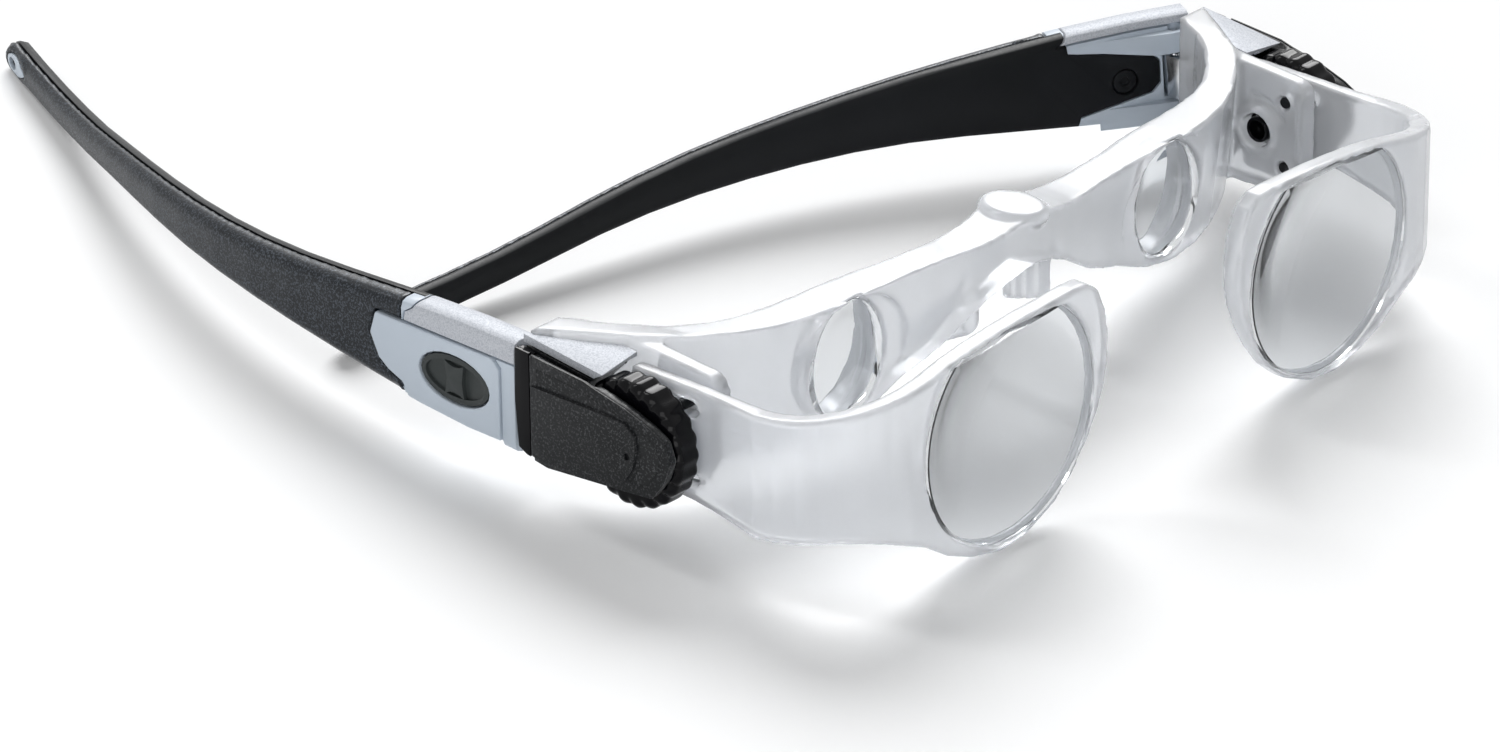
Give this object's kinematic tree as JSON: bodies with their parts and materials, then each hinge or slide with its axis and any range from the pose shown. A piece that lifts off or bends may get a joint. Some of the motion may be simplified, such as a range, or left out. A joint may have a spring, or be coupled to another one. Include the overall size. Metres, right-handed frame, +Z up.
{
  "type": "binocular glasses",
  "caption": "Hands-free binocular glasses: clear eyepiece frame, large front lenses on sliding curved arms, knurled side focusing wheels and folding temples.",
  "frame": {"origin": "centre of the bounding box on the floor that the front lenses and the open temple tip rest on", "axes": "+Y from the front lenses towards the temple tips, +Z up, +X towards the wearer's left"},
  "size_m": [0.14, 0.1818, 0.0317],
  "materials": {
    "clear_frame": "moulded clear polycarbonate with a satin surface",
    "lens": "polished clear acrylic",
    "silver_plastic": "satin silver lacquer",
    "blue_grey": "fine matt light blue-grey",
    "graphite": "satin graphite lacquer with a fine metallic grain",
    "black_plastic": "fine spark-eroded grain",
    "gloss_black": "gloss moulded black",
    "dark_grey": "matt dark grey",
    "steel": "bright rolled steel"
  },
  "bodies": {
    "front": {"eyepiece_frame": "clear_frame", "eyepiece_lens_left": "lens", "housing_body_left": "black_plastic", "housing_cover_left": "black_plastic", "top_cap_left": "silver_plastic", "hinge_leaf_left": "steel", "wheel_axle_left": "steel", "guide_pin_upper_left": "black_plastic", "guide_pin_lower_left": "black_plastic", "eyepiece_lens_right": "lens", "housing_body_right": "black_plastic", "housing_cover_right": "black_plastic", "top_cap_right": "silver_plastic", "hinge_leaf_right": "steel", "wheel_axle_right": "steel", "guide_pin_upper_right": "black_plastic", "guide_pin_lower_right": "black_plastic"},
    "carrier_left": {"objective_carrier_left": "clear_frame", "objective_lens_left": "lens"},
    "carrier_right": {"objective_carrier_right": "clear_frame", "objective_lens_right": "lens"},
    "wheel_left": {"focus_wheel_left": "gloss_black"},
    "wheel_right": {"focus_wheel_right": "gloss_black"},
    "temple_left": {"temple_clip_left": "blue_grey", "temple_shell_left": "silver_plastic", "outer_panel_left": "blue_grey", "temple_arm_left": "graphite", "arm_liner_left": "black_plastic", "arm_screw_left": "black_plastic", "tip_inlay_left": "blue_grey", "hinge_pin_left": "steel"},
    "temple_right": {"temple_clip_right": "blue_grey", "temple_shell_right": "silver_plastic", "outer_panel_right": "blue_grey", "temple_arm_right": "graphite", "arm_liner_right": "black_plastic", "arm_screw_right": "black_plastic", "tip_inlay_right": "blue_grey", "hinge_pin_right": "steel"},
    "button_left": {"release_button_left": "dark_grey"},
    "button_right": {"release_button_right": "dark_grey"}
  },
  "joints": [
    {"name": "focus_slide_left", "type": "slide", "parent": "front", "child": "carrier_left", "axis": [0, 0.9964, -0.0847], "range_m": [-0.002, 0.002]},
    {"name": "focus_turn_left", "type": "hinge", "parent": "front", "child": "wheel_left", "pos_m": [0.065, -0.05648, 0.01454], "axis": [1, 0, 0], "range_deg": [-57.3, 57.3]},
    {"name": "focus_slide_right", "type": "slide", "parent": "front", "child": "carrier_right", "axis": [0, 0.9964, -0.0847], "range_m": [-0.002, 0.002]},
    {"name": "focus_turn_right", "type": "hinge", "parent": "front", "child": "wheel_right", "pos_m": [-0.065, -0.05648, 0.01454], "axis": [1, 0, 0], "range_deg": [-57.3, 57.3]},
    {"name": "temple_fold_left", "type": "hinge", "parent": "front", "child": "temple_left", "pos_m": [0.065, -0.03632, 0.01323], "axis": [-0.0698, 0.0845, 0.994], "range_deg": [-59, 10]},
    {"name": "temple_fold_right", "type": "hinge", "parent": "front", "child": "temple_right", "pos_m": [-0.065, -0.03632, 0.01323], "axis": [0.1045, -0.0843, -0.9909], "range_deg": [0, 69]},
    {"name": "button_press_left", "type": "slide", "parent": "temple_left", "child": "button_left", "axis": [-0.5174, -0.8491, 0.1061], "range_m": [0, 0.0009], "stiffness_N_per_m": 1200},
    {"name": "button_press_right", "type": "slide", "parent": "temple_right", "child": "button_right", "axis": [1, 0, 0], "range_m": [0, 0.0009], "stiffness_N_per_m": 1200}
  ],
  "couplings": [
    {"joint": "focus_turn_left", "follows": "focus_slide_left", "rad_per_m": 500},
    {"joint": "focus_turn_right", "follows": "focus_slide_right", "rad_per_m": 500}
  ]
}
